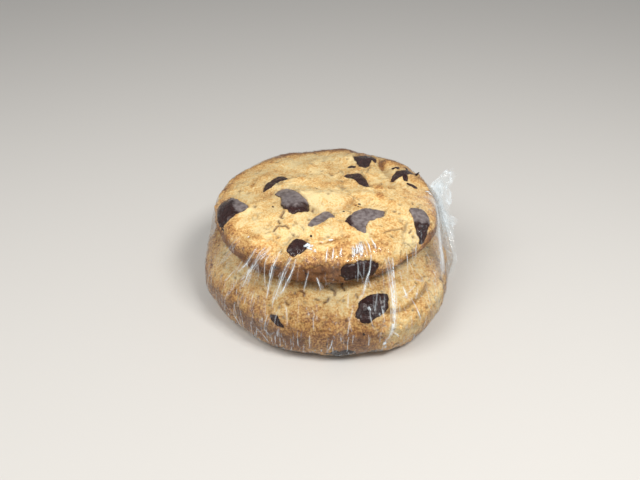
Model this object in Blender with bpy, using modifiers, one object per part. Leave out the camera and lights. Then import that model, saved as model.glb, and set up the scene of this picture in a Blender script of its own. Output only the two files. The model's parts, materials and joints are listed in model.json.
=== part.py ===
"""Two thick chocolate chip cookies, one on the other, wrapped tight in clear film.

Frame: the origin is the centre of the lower cookie's flat base, +Z is up, +X is to the right as
seen from the front and +Y is to the back. Driving sizes are in millimetres, the mesh in metres.
"""

import itertools
import math
from typing import NamedTuple

import bmesh
import bpy
from mathutils import Matrix, Vector, noise
from mathutils.bvhtree import BVHTree

MM = 0.001
GAP = 0.3  # left between pieces that touch

# Lumps of the dough: how far they stand out, and the distance from one to the next
BROAD_LUMP, BROAD_PITCH = 1.1, 17.0
SMALL_LUMP, SMALL_PITCH = 0.7, 8.0
COOKIE_SEGMENTS, COOKIE_RINGS = 52, 24

# Where the two cookies have settled flat on each other
SEAT = 22.0

# Chips
CHIP_DEPTH = 7.0  # across the chip, into the dough
CHIP_PROUD = 1.1  # its flat pressed face stands this far out of the dough
CHIP_UNEVEN = 0.09  # share of its size by which a chip is irregular
CHIP_SEGMENTS, CHIP_RINGS = 9, 6

# Film where it stands off the dough
FILM_THICK = 0.4
FILM_CLEAR = 0.6  # middle of the film to whatever it passes over
FILM_LOW, FILM_HIGH = 8.0, 32.0
FILM_ROWS, FILM_COLUMNS = 9, 96
FILM_STEP = (FILM_HIGH - FILM_LOW) / (FILM_ROWS - 1)
FILM_LEVELS = [FILM_LOW + FILM_STEP * row for row in range(FILM_ROWS)]
FILM_AXIS = Vector((0.3, 2.0, 0.0))
PROBE_STEP = FILM_STEP / 3  # the food is felt for at levels this far apart
PROBE_LEVELS = [FILM_LOW + PROBE_STEP * (step - 1) for step in range(3 * FILM_ROWS)]
RAY_START = 100.0
PLEATS, PLEAT_LIFT = 22, 0.5

# Fin of gathered film up the right side
FIN_TURN_LOW, FIN_TURN_HIGH = -8.0, 15.0  # where it leaves the wrap, degrees from +X
FIN_TOP = 42.0
FIN_REACH_LOW, FIN_REACH_HIGH = 1.2, 7.0
FIN_COLUMNS = 6
FIN_HALF_GAP = 0.55  # from the fin's middle to the middle of each of its two layers
FIN_RUFFLE = 1.6


class Cookie(NamedTuple):
    """A puffed disc: half sizes and levels, how square its section is, and its outline's lobes."""

    name: str
    centre: tuple
    half_width: float
    half_depth: float
    waist: float  # level of its widest section
    crown: float  # level that its dome would reach
    keel: float  # level that its underside would reach
    floor: float  # level at which the underside is flat
    ceiling: float  # level at which the top is flat
    square: float
    lobes: tuple  # (degrees from +X, degrees wide, how far it bulges)
    folds: tuple  # (start, end, depth, width), a furrow between two points of the skin
    seed: float


LOWER = Cookie(
    name="cookie_lower",
    centre=(0.0, 0.0),
    half_width=43.7,
    half_depth=43.2,
    waist=9.5,
    crown=23.5,
    keel=-4.5,
    floor=0.0,
    ceiling=SEAT,
    square=2.8,
    lobes=((-50.0, 24.0, 3.2), (-132.0, 32.0, -1.5), (160.0, 40.0, 0.8)),
    folds=(
        ((20.0, -37.0, 16.5), (37.0, -22.0, 17.0), 1.7, 3.0),
        ((-34.0, -26.0, 9.0), (-8.0, -41.0, 8.0), 0.8, 3.2),
    ),
    seed=3.0,
)
UPPER = Cookie(
    name="cookie_upper",
    centre=(0.5, 4.0),
    half_width=39.0,
    half_depth=38.2,
    waist=30.2,
    crown=38.8,
    keel=21.2,
    floor=SEAT + GAP,
    ceiling=60.0,
    square=2.7,
    lobes=((-140.0, 30.0, 1.2), (-62.0, 30.0, -1.8), (45.0, 34.0, 1.6), (140.0, 30.0, 0.8)),
    folds=(
        ((-5.0, -7.5, 38.2), (13.0, -4.5, 38.2), 1.1, 2.8),
        ((-27.0, 1.0, 37.2), (-17.0, 16.0, 37.2), 0.8, 3.5),
        ((3.0, 25.0, 37.5), (22.0, 22.0, 37.0), 0.9, 3.0),
    ),
    seed=11.0,
)


class Chip(NamedTuple):
    """A chocolate chip set in the skin: length, width and the turn of its point, in degrees."""

    name: str
    length: float
    width: float
    turn: float
    point: float  # 0 is an even oval, 1 a drop with a sharp end


# Chips that lie in the top of the upper cookie, at x and y
TOP_CHIPS = (
    (-32.6, -2.4, Chip("chip_top_1", 13.0, 10.5, 20.0, 0.5)),
    (-18.0, 8.4, Chip("chip_top_2", 11.0, 6.0, 38.0, 0.7)),
    (-11.6, -2.0, Chip("chip_top_3", 12.5, 11.0, -50.0, 0.3)),
    (-1.2, -12.4, Chip("chip_top_4", 10.5, 5.5, 30.0, 0.8)),
    (11.6, 11.3, Chip("chip_top_5", 11.5, 6.5, -40.0, 0.6)),
    (13.2, -12.0, Chip("chip_top_6", 15.0, 10.0, 25.0, 0.6)),
    (14.4, 29.8, Chip("chip_top_7", 10.0, 8.5, -15.0, 0.3)),
    (29.2, 18.4, Chip("chip_top_8", 12.0, 8.0, 25.0, 0.2)),
    (32.5, -10.8, Chip("chip_top_9", 14.5, 7.5, -100.0, 0.5)),
    (-9.0, -26.4, Chip("chip_top_10", 8.0, 7.5, 10.0, 0.1)),
)

# Chips in the sides, at a turn about the cookie's own centre and a level
SIDE_CHIPS = (
    (UPPER, -73.0, 28.8, Chip("chip_side_1", 12.5, 7.0, 0.0, 0.2)),
    (UPPER, 152.0, 30.5, Chip("chip_side_2", 12.0, 8.0, 15.0, 0.4)),
    (UPPER, 104.0, 28.5, Chip("chip_side_3", 11.0, 7.0, -20.0, 0.6)),
    (LOWER, -67.3, 19.0, Chip("chip_side_4", 12.5, 9.0, 40.0, 0.2)),
    (LOWER, -113.0, 14.9, Chip("chip_side_5", 7.0, 4.5, -20.0, 0.5)),
    (LOWER, -84.0, 3.0, Chip("chip_side_6", 9.0, 4.0, 4.0, 0.3)),
    (LOWER, 148.0, 9.5, Chip("chip_side_7", 12.0, 8.0, 30.0, 0.4)),
    (LOWER, 110.0, 13.0, Chip("chip_side_8", 13.0, 9.0, -15.0, 0.5)),
    (LOWER, 72.0, 8.5, Chip("chip_side_9", 10.0, 7.0, 25.0, 0.6)),
    (LOWER, 32.0, 12.0, Chip("chip_side_10", 12.0, 8.5, -30.0, 0.3)),
)


def clear_scene():
    for thing in list(bpy.data.objects):
        bpy.data.objects.remove(thing)


def collection(name):
    made = bpy.data.collections.new(name)
    bpy.context.scene.collection.children.link(made)
    return made


def finish(name, colour, roughness, alpha=1.0):
    """A Principled material."""
    material = bpy.data.materials.new(name)
    material.use_nodes = True
    shader = material.node_tree.nodes["Principled BSDF"]
    shader.inputs["Base Color"].default_value = (*colour, 1.0)
    shader.inputs["Roughness"].default_value = roughness
    shader.inputs["Metallic"].default_value = 0.0
    shader.inputs["Alpha"].default_value = alpha
    return material


def add_object(name, form, material, home):
    """A smooth shaded object from a bmesh in metres."""
    mesh = bpy.data.meshes.new(name)
    form.to_mesh(mesh)
    form.free()
    mesh.shade_smooth()
    mesh.materials.append(material)
    made = bpy.data.objects.new(name, mesh)
    home.objects.link(made)
    return made


def outline_bulge(cookie, turn):
    """How far the outline stands out of its ellipse at a turn in radians."""
    bulge = 0.0
    for middle, wide, amount in cookie.lobes:
        away = math.remainder(turn - math.radians(middle), math.tau)
        bulge += amount * math.exp(-((away / math.radians(wide)) ** 2))
    return bulge


def fold_depth(cookie, point):
    """How deep the cookie's furrows are at a point of its skin."""
    depth = 0.0
    for start, end, deep, wide in cookie.folds:
        first, last = Vector(start), Vector(end)
        along = last - first
        share = max(0.0, min(1.0, (point - first).dot(along) / along.length_squared))
        away = (point - first - along * share).length
        depth += deep * math.exp(-((away / wide) ** 2))
    return depth


def skin_point(cookie, ball):
    """The place in mm of the cookie's skin for a point of the unit ball."""
    flat = math.hypot(ball.x, ball.y)
    turn = math.atan2(ball.y, ball.x)
    power = 2.0 / cookie.square
    out = flat**power
    rise = cookie.crown - cookie.waist if ball.z > 0 else cookie.waist - cookie.keel
    bulge = outline_bulge(cookie, turn)
    point = Vector(
        (
            cookie.centre[0] + (cookie.half_width + bulge) * out * math.cos(turn),
            cookie.centre[1] + (cookie.half_depth + bulge) * out * math.sin(turn),
            cookie.waist + math.copysign(abs(ball.z) ** power, ball.z) * rise,
        )
    )
    shift = Vector((cookie.seed, -cookie.seed, 2 * cookie.seed))
    lump = BROAD_LUMP * noise.noise(point / BROAD_PITCH + shift)
    lump += SMALL_LUMP * noise.noise(point / SMALL_PITCH - shift)
    point += ball.normalized() * (lump - fold_depth(cookie, point))
    point.z = max(cookie.floor, min(cookie.ceiling, point.z))
    return point


def cookie_form(cookie):
    form = bmesh.new()
    bmesh.ops.create_uvsphere(form, u_segments=COOKIE_SEGMENTS, v_segments=COOKIE_RINGS, radius=1.0)
    for vertex in form.verts:
        vertex.co = skin_point(cookie, vertex.co) * MM
    return form


def chip_form(chip, margin):
    """A drop lying along X with its pressed face up, grown by a margin; its skin level is z = 0."""
    form = bmesh.new()
    bmesh.ops.create_uvsphere(form, u_segments=CHIP_SEGMENTS, v_segments=CHIP_RINGS, radius=1.0)
    centre = CHIP_PROUD + 0.6 - CHIP_DEPTH / 2
    shift = Vector((chip.length, chip.width, chip.turn))
    for vertex in form.verts:
        ball = vertex.co.copy()
        slim = 1.0 - 0.55 * chip.point * max(0.0, ball.x + 0.2)
        grown = 1.0 + CHIP_UNEVEN * noise.noise(ball * 1.7 + shift)
        along = ball.x * (chip.length / 2 * grown + margin)
        across = ball.y * slim * (chip.width / 2 * grown + margin)
        up = centre + ball.z * (CHIP_DEPTH / 2 + margin)
        vertex.co = Vector((along, across, min(up, CHIP_PROUD + margin))) * MM
    return form


def skin_of(*objects):
    """A search tree over the objects' own meshes."""
    both = bmesh.new()
    for thing in objects:
        both.from_mesh(thing.data)
    tree = BVHTree.FromBMesh(both)
    both.free()
    return tree


def stand(place, normal, turn):
    """The matrix that lays a chip on a skin, turned about the skin's normal."""
    upright = Vector((0.0, 0.0, 1.0))
    right = Vector((1.0, 0.0, 0.0))
    if abs(normal.z) < 0.75:
        right = upright.cross(normal).normalized()
    ahead = normal.cross(right).normalized()
    right = ahead.cross(normal)
    lay = Matrix((right, ahead, normal)).transposed().to_4x4()
    return Matrix.Translation(place) @ lay @ Matrix.Rotation(math.radians(turn), 4, "Z")


def chip_places(lower, upper):
    """Each chip, the cookie it is in, and the matrix that lays it in the skin."""
    skins = {LOWER.name: (lower, skin_of(lower)), UPPER.name: (upper, skin_of(upper))}
    for x, y, chip in TOP_CHIPS:
        host, skin = skins[UPPER.name]
        place, normal, _, _ = skin.ray_cast(Vector((x, y, 100.0)) * MM, Vector((0.0, 0.0, -1.0)))
        yield chip, host, stand(place, normal, chip.turn)
    for cookie, turn, level, chip in SIDE_CHIPS:
        host, skin = skins[cookie.name]
        way = Vector((math.cos(math.radians(turn)), math.sin(math.radians(turn)), 0.0))
        start = Vector((*cookie.centre, level)) + way * 100.0
        place, normal, _, _ = skin.ray_cast(start * MM, -way)
        yield chip, host, stand(place, normal, chip.turn)


def add_chips(lower, upper, chocolate, home, cutters):
    """Lays the chips in the cookies' skins and cuts a socket for each."""
    sockets = {host: collection("sockets_" + host.name) for host in (lower, upper)}
    chips = []
    for chip, host, lay in chip_places(lower, upper):
        form = chip_form(chip, 0.0)
        bmesh.ops.transform(form, matrix=lay, verts=form.verts)
        chips.append(add_object(chip.name, form, chocolate, home))
        hole = chip_form(chip, GAP)
        bmesh.ops.transform(hole, matrix=lay, verts=hole.verts)
        cutter = add_object("socket_" + chip.name, hole, chocolate, sockets[host])
        cutter.hide_render = True
        cutter.display_type = "WIRE"
    for host, group in sockets.items():
        bpy.context.scene.collection.children.unlink(group)
        cutters.children.link(group)
        cut = host.modifiers.new("sockets", "BOOLEAN")
        cut.operation = "DIFFERENCE"
        cut.operand_type = "COLLECTION"
        cut.collection = group
    return chips


def fin_turn(level):
    """Where the fin leaves the wrap at a level of the film, in radians."""
    share = (level - FILM_LOW) / (FILM_HIGH - FILM_LOW)
    return math.radians(FIN_TURN_LOW + (FIN_TURN_HIGH - FIN_TURN_LOW) * share)


def reach_at(food, turn, level):
    """How far from the film's axis the food reaches at a turn and a level, in mm."""
    way = Vector((math.cos(turn), math.sin(turn), 0.0))
    start = FILM_AXIS + way * RAY_START + Vector((0.0, 0.0, level))
    place, _, _, distance = food.ray_cast(start * MM, -way)
    return 0.0 if place is None else RAY_START - distance / MM


def taut_reaches(food, share):
    """The reach of film drawn tight up the food at a share of the way round, for each probe level."""
    reaches = [reach_at(food, fin_turn(level) + share * math.tau, level) for level in PROBE_LEVELS]
    pulled = list(reaches)
    for low, high in itertools.combinations(range(len(reaches)), 2):
        for between in range(low + 1, high):
            chord = reaches[low] + (reaches[high] - reaches[low]) * (between - low) / (high - low)
            pulled[between] = max(pulled[between], chord)
    return pulled


def wrap_column(tight, column):
    """The film's points up one column of the ring, outside the tight reaches on either side."""
    share = column / FILM_COLUMNS
    beside = tight[2 * column : 2 * column + 5]
    wave = 0.5 + 0.5 * math.sin(share * math.tau * PLEATS + 3.0 * noise.noise((share * 9.0, 0.0, 5.0)))
    points = []
    for level in FILM_LEVELS:
        height = (level - FILM_LOW) / (FILM_HIGH - FILM_LOW)
        near = [row for row, probe in enumerate(PROBE_LEVELS) if abs(probe - level) <= PROBE_STEP]
        pleat = PLEAT_LIFT * wave * math.sin(math.pi * height) ** 2
        reach = max(reaches[row] for reaches in beside for row in near) + FILM_CLEAR + pleat
        inset = FIN_HALF_GAP / reach
        turn = fin_turn(level) + inset + share * (math.tau - 2 * inset)
        points.append(FILM_AXIS + Vector((reach * math.cos(turn), reach * math.sin(turn), level)))
    return points


def fin_column(root, side, share):
    """The film's points up one column of the fin, out from its root column on one side."""
    points = []
    for start in root:
        height = (start.z - FILM_LOW) / (FILM_HIGH - FILM_LOW)
        turn = fin_turn(start.z)
        out = Vector((math.cos(turn), math.sin(turn), 0.0))
        around = Vector((-out.y, out.x, 0.0))
        full = FIN_REACH_LOW + (FIN_REACH_HIGH - FIN_REACH_LOW) * math.sin(0.5 * math.pi * height) ** 2
        rise = (FIN_TOP - FILM_HIGH) * height**2
        ruffle = FIN_RUFFLE * share * (0.3 + height) * math.sin(9.0 * height + 2.4 * share)
        middle = (start - FILM_AXIS).dot(out)
        point = FILM_AXIS + out * (middle + full * share) + around * (ruffle + side * FIN_HALF_GAP)
        point.z = start.z + rise * math.sin(0.5 * math.pi * share)
        points.append(point)
    return points


def film_form(food):
    """The film's middle surface: out of the fin's edge, once round the stack and back."""
    tight = [taut_reaches(food, half / FILM_COLUMNS / 2) for half in range(-2, 2 * FILM_COLUMNS + 3)]
    ring = [wrap_column(tight, column) for column in range(FILM_COLUMNS + 1)]
    shares = [(step + 1) / FIN_COLUMNS for step in range(FIN_COLUMNS)]
    first = [fin_column(ring[0], 1.0, share) for share in reversed(shares)]
    last = [fin_column(ring[-1], -1.0, share) for share in shares]
    form = bmesh.new()
    grid = [[form.verts.new(point * MM) for point in column] for column in first + ring + last]
    for left, right in zip(grid, grid[1:]):
        for row in range(FILM_ROWS - 1):
            form.faces.new((left[row], right[row], right[row + 1], left[row + 1]))
    return form


def add_film(food, material, home):
    film = add_object("film_wrap", film_form(food), material, home)
    skin = film.modifiers.new("thickness", "SOLIDIFY")
    skin.thickness = FILM_THICK * MM
    skin.offset = 0.0
    return film


def main():
    clear_scene()
    home = collection("wrapped_cookies")
    cutters = collection("cutters")
    dough = finish("dough", (0.70, 0.47, 0.24), 0.85)
    chocolate = finish("chocolate", (0.055, 0.028, 0.022), 0.35)
    film = finish("film", (0.85, 0.90, 0.92), 0.12, alpha=0.3)
    lower = add_object(LOWER.name, cookie_form(LOWER), dough, home)
    upper = add_object(UPPER.name, cookie_form(UPPER), dough, home)
    chips = add_chips(lower, upper, chocolate, home, cutters)
    add_film(skin_of(lower, upper, *chips), film, home)


main()
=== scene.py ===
"""The looks of two chocolate chip cookies wrapped tight in clear film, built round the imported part.

Forms are worked out in millimetres in the part's own frame: the origin is the centre of the lower
cookie's flat base, +Z is up, +X is to the right and +Y to the back. Meshes are made in metres.
"""

import itertools
import json
import math
from typing import NamedTuple

import bmesh
import bpy
import numpy as np
from mathutils import Matrix, Vector, noise
from mathutils.bvhtree import BVHTree

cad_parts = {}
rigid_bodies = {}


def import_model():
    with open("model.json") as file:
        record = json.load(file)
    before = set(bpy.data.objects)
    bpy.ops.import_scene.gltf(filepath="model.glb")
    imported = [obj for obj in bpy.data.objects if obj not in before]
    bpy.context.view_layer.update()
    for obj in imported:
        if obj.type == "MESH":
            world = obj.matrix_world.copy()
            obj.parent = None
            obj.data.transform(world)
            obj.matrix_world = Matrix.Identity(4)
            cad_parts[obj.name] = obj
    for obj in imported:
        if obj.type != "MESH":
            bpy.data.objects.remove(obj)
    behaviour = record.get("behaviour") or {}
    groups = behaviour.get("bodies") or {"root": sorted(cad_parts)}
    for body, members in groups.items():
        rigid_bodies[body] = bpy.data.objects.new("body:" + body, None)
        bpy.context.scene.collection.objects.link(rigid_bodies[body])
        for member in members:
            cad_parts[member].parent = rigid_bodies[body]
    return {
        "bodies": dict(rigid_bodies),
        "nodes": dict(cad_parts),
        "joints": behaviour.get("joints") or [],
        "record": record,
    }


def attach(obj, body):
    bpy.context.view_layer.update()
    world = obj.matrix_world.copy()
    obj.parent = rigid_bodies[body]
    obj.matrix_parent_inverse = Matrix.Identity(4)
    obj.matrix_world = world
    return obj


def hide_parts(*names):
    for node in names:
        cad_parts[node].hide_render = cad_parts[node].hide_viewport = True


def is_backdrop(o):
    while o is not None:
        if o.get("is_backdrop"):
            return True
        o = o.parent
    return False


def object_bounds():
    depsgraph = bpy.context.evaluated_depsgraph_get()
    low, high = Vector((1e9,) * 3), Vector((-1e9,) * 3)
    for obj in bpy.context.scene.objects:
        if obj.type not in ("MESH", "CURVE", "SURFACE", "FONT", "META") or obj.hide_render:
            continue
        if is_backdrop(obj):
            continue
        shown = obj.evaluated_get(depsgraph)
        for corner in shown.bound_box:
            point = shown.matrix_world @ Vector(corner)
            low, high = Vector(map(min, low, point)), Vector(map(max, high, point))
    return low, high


MM = 0.001
GAP = 0.3
DOWN = Vector((0.0, 0.0, -1.0))
FAR = 100.0  # rays start this far off, outside everything
STEEP = 0.75  # a skin that faces up by less than this is a side

# Camera, from the perspective of the photograph
CAMERA_PLACE = (-2.0, -206.4, 166.9)
CAMERA_PITCH = 35.5  # degrees down
FOCAL_PIXELS, FRAME_PIXELS = 700.0, 640.0
SENSOR = 36.0

# Dough's form, as the solids have it
BROAD_LUMP, BROAD_PITCH = 1.1, 17.0
SMALL_LUMP, SMALL_PITCH = 0.7, 8.0
SEAT = 22.0

# Dough's fine mesh and relief
FORM_SEGMENTS, FORM_RINGS = 200, 110
FLOOR_SKIN = 0.16  # the dough's underside stays this far above the floor, over the film
SOCKET_REACH, SOCKET_HIGH = 13.0, 5.0  # a chip shapes the dough this far round it, along and up
SOCKET_DEEP, LIP_HIGH, GROOVE_DEEP = 1.5, 0.6, 0.35

# Film
FILM_CLEAR = 0.3  # from the food's outline to the film
FILM_COLUMNS = 800
FILM_TOP_ROWS, FILM_SIDE_ROWS = 30, 80
FILM_TOP_REACH = 28.0
FILM_AXIS = np.array([0.3, 2.0])
FILM_RADIUS = 42.0
FILM_FLOOR = 0.05
FIN_TURN_LOW, FIN_TURN_HIGH = -8.0, 15.0
FIN_LOW, FIN_HIGH = 8.0, 32.0
FIN_ROOT, FIN_ROOT_WIDE = 2.2, 4.0  # how far the wrap is drawn out to its tail, in mm, and over what turn
SECTION_REACHES = np.arange(0.0, 48.0, 1.0)  # the food is felt for from above at these reaches
SECTION_LEVELS = np.arange(0.4, 39.0, 0.8)  # and from the side at these levels
SECTION_ABOVE, SECTION_OUTSIDE = 60.0, 80.0

# Studio
FLOOR_SIZE = 4.0  # in metres
FLOOR_COLOUR = (0.60, 0.585, 0.56, 1.0)
WORLD_COLOUR, WORLD_STRENGTH = (0.99, 0.985, 0.98, 1.0), 0.38
# Name, place, target and size in mm, power in watts, and colour
LIGHTS = (
    ("key", (180.0, -175.0, 385.0), (0.0, 0.0, 20.0), (150.0, 110.0), 1.50, (1.0, 0.98, 0.95)),
    ("fill", (-230.0, -170.0, 380.0), (0.0, 0.0, 15.0), (260.0, 220.0), 1.10, (1.0, 0.985, 0.96)),
)

# Colours, from pale to well baked for the dough
DOUGH_COLOURS = (
    (0.0, (0.80, 0.655, 0.365)),
    (0.22, (0.76, 0.56, 0.262)),
    (0.45, (0.685, 0.43, 0.158)),
    (0.70, (0.51, 0.262, 0.082)),
    (1.0, (0.25, 0.110, 0.040)),
)
DOUGH_MOTTLE = ((0.65, 1.7), (2.2, 0.8), (7.0, 0.5))  # pitch in mm, and how strong
SPECK_PITCH, SPECK_SIZE, SPECK_RARE = 1.9, 0.14, 0.66
SPECK_COLOUR = (0.30, 0.13, 0.045, 1.0)
# Painted shade in the crevice round each chip's edge
EDGE_SHADE_COLOUR = (0.45, 0.24, 0.10, 1.0)
# Painted shade for the bottoms of pores, cracks and creases
PIT_SHADE_COLOUR = (0.10, 0.034, 0.011, 1.0)
CHOCOLATE_DARK = ((0.3, (0.018, 0.008, 0.008)), (0.7, (0.050, 0.021, 0.020)))
# Grey of chip faces that film flattens: partly their dulled surface, partly painted reflection
CHOCOLATE_GREY_SHEEN = ((0.35, (0.120, 0.094, 0.094)), (0.65, (0.255, 0.222, 0.224)))
WHITE = (1.0, 1.0, 1.0, 1.0)
FILM_CLEAR_COLOUR = (0.99, 0.99, 0.985, 1.0)
# Whitish colour of the film's haze and of its painted highlights on wrinkles and glints
FILM_MILK_AND_GLARE = (0.77, 0.86, 0.92, 1.0)
FILM_SQUEEZES = (0.10, 0.35)  # share of the height that the film's two patterns keep


class Cookie(NamedTuple):
    """A puffed disc: half sizes and levels, how square its section is, and its outline's lobes."""

    name: str
    centre: tuple
    half_width: float
    half_depth: float
    waist: float
    crown: float
    keel: float
    floor: float
    ceiling: float
    square: float
    lobes: tuple
    folds: tuple
    seed: float
    grain: float  # edge length of the fine mesh
    # Browner below the widest level: partly baked tone, partly painted shade of the wall that turns under
    browned_and_shaded: float  # how much browner the wall is below its widest level
    rim: tuple  # where the brown rim is and how wide, as shares of the outline's reach
    band: tuple  # the level of a browner band round the wall, its half width and how much browner


LOWER = Cookie(
    name="cookie_lower",
    centre=(0.0, 0.0),
    half_width=43.7,
    half_depth=43.2,
    waist=9.5,
    crown=23.5,
    keel=-4.5,
    floor=0.0,
    ceiling=SEAT,
    square=2.8,
    lobes=((-50.0, 24.0, 3.2), (-132.0, 32.0, -1.5), (160.0, 40.0, 0.8)),
    folds=(
        ((20.0, -37.0, 16.5), (37.0, -22.0, 17.0), 1.7, 3.0),
        ((-34.0, -26.0, 9.0), (-8.0, -41.0, 8.0), 0.8, 3.2),
    ),
    seed=3.0,
    grain=0.47,
    browned_and_shaded=0.04,
    rim=(0.96, 0.10),
    band=(15.0, 8.0, 0.13),
)
UPPER = Cookie(
    name="cookie_upper",
    centre=(0.5, 4.0),
    half_width=39.0,
    half_depth=38.2,
    waist=30.2,
    crown=38.8,
    keel=21.2,
    floor=SEAT + GAP,
    ceiling=60.0,
    square=2.7,
    lobes=((-140.0, 30.0, 1.2), (-62.0, 30.0, -1.8), (45.0, 34.0, 1.6), (140.0, 30.0, 0.8)),
    folds=(
        ((-5.0, -7.5, 38.2), (13.0, -4.5, 38.2), 1.1, 2.8),
        ((-27.0, 1.0, 37.2), (-17.0, 16.0, 37.2), 0.8, 3.5),
        ((3.0, 25.0, 37.5), (22.0, 22.0, 37.0), 0.9, 3.0),
    ),
    seed=11.0,
    grain=0.42,
    browned_and_shaded=0.34,
    rim=(0.93, 0.13),
    band=(31.0, 3.0, 0.05),
)


class Chip(NamedTuple):
    """A chip's outline on the skin, its seat there, how far it stands out, and how it leans.

    The outline's points are right and up along the skin from the seat. The seat is x and y on the
    top, or a turn in degrees and a level on the side. Grey is where film has flattened the face,
    partly its dulled surface and partly painted reflection: a way in degrees, and how far back from
    the seat it starts; none leaves the face dark.
    """

    name: str
    outline: tuple
    cookie: Cookie
    seat: tuple
    proud: float = 0.3
    grey: tuple = None
    lean: tuple = (0.0, 0.0)


def numbered_chips(stem, seats, outlines):
    """Chips named by their place in the tables of seats and outlines."""
    rows = enumerate(zip(outlines, seats), 1)
    return tuple(Chip(f"{stem}{number}", outline, *seat) for number, (outline, seat) in rows)


# Each chip of the top: its seat, how far it stands out, its grey and its lean
TOP_SEATS = (
    ((-32.6, -2.4), 0.5, (20, -0.6)),
    ((-18, 8.4), 0.15),
    ((-11.6, -2), 0.75, (100, 6.3), (0.02, -0.14)),
    ((-1.2, -12.4), 0.3, (90, 9)),
    ((11.6, 11.3), 0.1),
    ((13.2, -12), 0.5, (10, 4.4), (-0.04, 0)),
    ((14.4, 29.8), 0.1),
    ((29.2, 18.4), 0.1),
    ((32.5, -10.8), 0.5, (100, 0.8)),
    ((-9, -26.4), 0.5),
)
# Their outlines, in the same order
TOP_OUTLINES = (
    ((-6, 0), (-5.5, 4.5), (-2, 6), (1.5, 2.5), (6, -3), (4, -5), (1, -6.5), (-1.5, -9), (-4, -8.5)),
    ((-4, -4.5), (-3.5, 0.5), (-1.5, 2), (0, 5), (2.5, 4.5), (4.5, 2), (1, 0.5), (-1, -2)),
    ((-6, 3.5), (-5, 6), (-3, 6.5), (0, 5), (4.5, -2), (5.5, -6), (3, -8), (0, -9.5), (-3, -5), (-3.5, 0)),
    ((-4.5, -5), (-3.5, -2), (-1.5, 0.5), (0, 3), (2, 3), (4, -0.5), (2, -0.5), (0, -3), (-2.5, -5.5)),
    (
        (-5, 3.5), (-3, 4.5), (-0.5, 4.5), (1.5, 3.5), (3, -0.5), (4.5, -6), (2, -5), (0, -2.5),
        (-1.5, 1), (-4, 1.5),
    ),
    (
        (-6.5, -3), (-5, 0), (-2.5, 2.5), (0, 4), (3, 4), (6, 3.5), (6, 1), (3, -1), (0, -4),
        (-0.5, -8), (-3, -7), (-5.5, -5),
    ),
    ((-3.5, 0.5), (0, 5.5), (2.5, 5.5), (4.5, 0), (4.5, -4), (3, -3), (1.5, -8), (-0.5, -9), (-2, -6.5)),
    ((-6, -8), (-4.5, -3), (-2.5, 1), (0.5, 2.5), (2.5, 6.5), (5, 4.5), (4, 1.5), (1, -0.5), (-2, -4)),
    (
        (-4, 4), (-2, 5.5), (0.5, 5.5), (2, 3.5), (2.6, 0), (1.8, -3), (1.6, -5.6), (-0.2, -8),
        (-1.8, -6), (-3, -1),
    ),
    (
        (-3.3, -1.6), (-2.2, 0.8), (-0.8, 2.4), (1, 2.1), (3.5, 0.7), (2.8, -0.9), (1.2, -3),
        (-0.2, -3.4), (-2, -3.3),
    ),
)
# The same for the chips of the sides, with the cookie that each is in
SIDE_SEATS = (
    (UPPER, (-73, 28.8), 0.6),
    (UPPER, (152, 30.5), 0.3, (0, 1)),
    (UPPER, (104, 28.5)),
    (LOWER, (-67.3, 19), 0.95),
    (LOWER, (-113, 14.9), -0.3),
    (LOWER, (-84, 3)),
    (LOWER, (148, 9.5)),
    (LOWER, (110, 13), 0.3, (90, -0.5)),
    (LOWER, (72, 8.5)),
    (LOWER, (32, 12)),
)
SIDE_OUTLINES = (
    ((-6.5, 3.5), (-2.5, 4), (1.5, 4), (5.5, 2.5), (4.5, 0), (3, -2.5), (-1, -2.5), (-5.5, -1.5)),
    ((-6, -1), (-4, 2.5), (0, 3.5), (5, 2), (6, -0.5), (2, -3.5), (-3, -3.5)),
    ((-5, 0), (-2, 3), (2, 2.5), (5.5, 1), (3, -2), (-1, -3.5), (-4, -2.5)),
    (
        (-5, -4.5), (-4.5, -1), (-3, 1.5), (0, 3.5), (2, 4), (5, 4), (5, 1.5), (4.5, -1),
        (1, -4), (-1, -5.5), (-3, -5.5),
    ),
    ((-2.8, 0.9), (-1, 1.7), (1.5, 0.3), (2.8, -1.3), (1.2, -1.8), (-1.2, -0.5)),
    ((-4.5, -0.5), (-3.5, 2), (-0.5, 3.2), (3, 3), (5, 1.5), (3.5, -1), (0, -1.8)),
    ((-5, -3), (-5, 1), (-2, 3.5), (2, 3.5), (5.5, 1.5), (4, -2), (0, -4)),
    ((-6.5, 1), (-3, 4), (1, 4), (5, 2), (6, -1), (2, -4), (-3, -3.5)),
    ((-4.5, -1), (-3, 2), (0, 3), (4, 2.5), (4.5, 0), (1, -3), (-2, -3)),
    ((-5, 0), (-3, 3.5), (1, 4), (5, 2), (5, -2), (1, -4), (-3, -3.5)),
)
TOP_CHIPS = numbered_chips("chip_top_", [(UPPER, *seat) for seat in TOP_SEATS], TOP_OUTLINES)
SIDE_CHIPS = numbered_chips("chip_side_", SIDE_SEATS, SIDE_OUTLINES)


class Mark(NamedTuple):
    """A crease, crack, ridge or spot of the dough.

    Its route is in mm and is brought down onto the skin; then how deep and wide it is, how much
    painted shade darkens its bottom, and how much browner it bakes the dough beside it.
    """

    route: tuple
    deep: float
    wide: float
    dark: float = 0.0
    bake: float = 0.0


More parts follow.
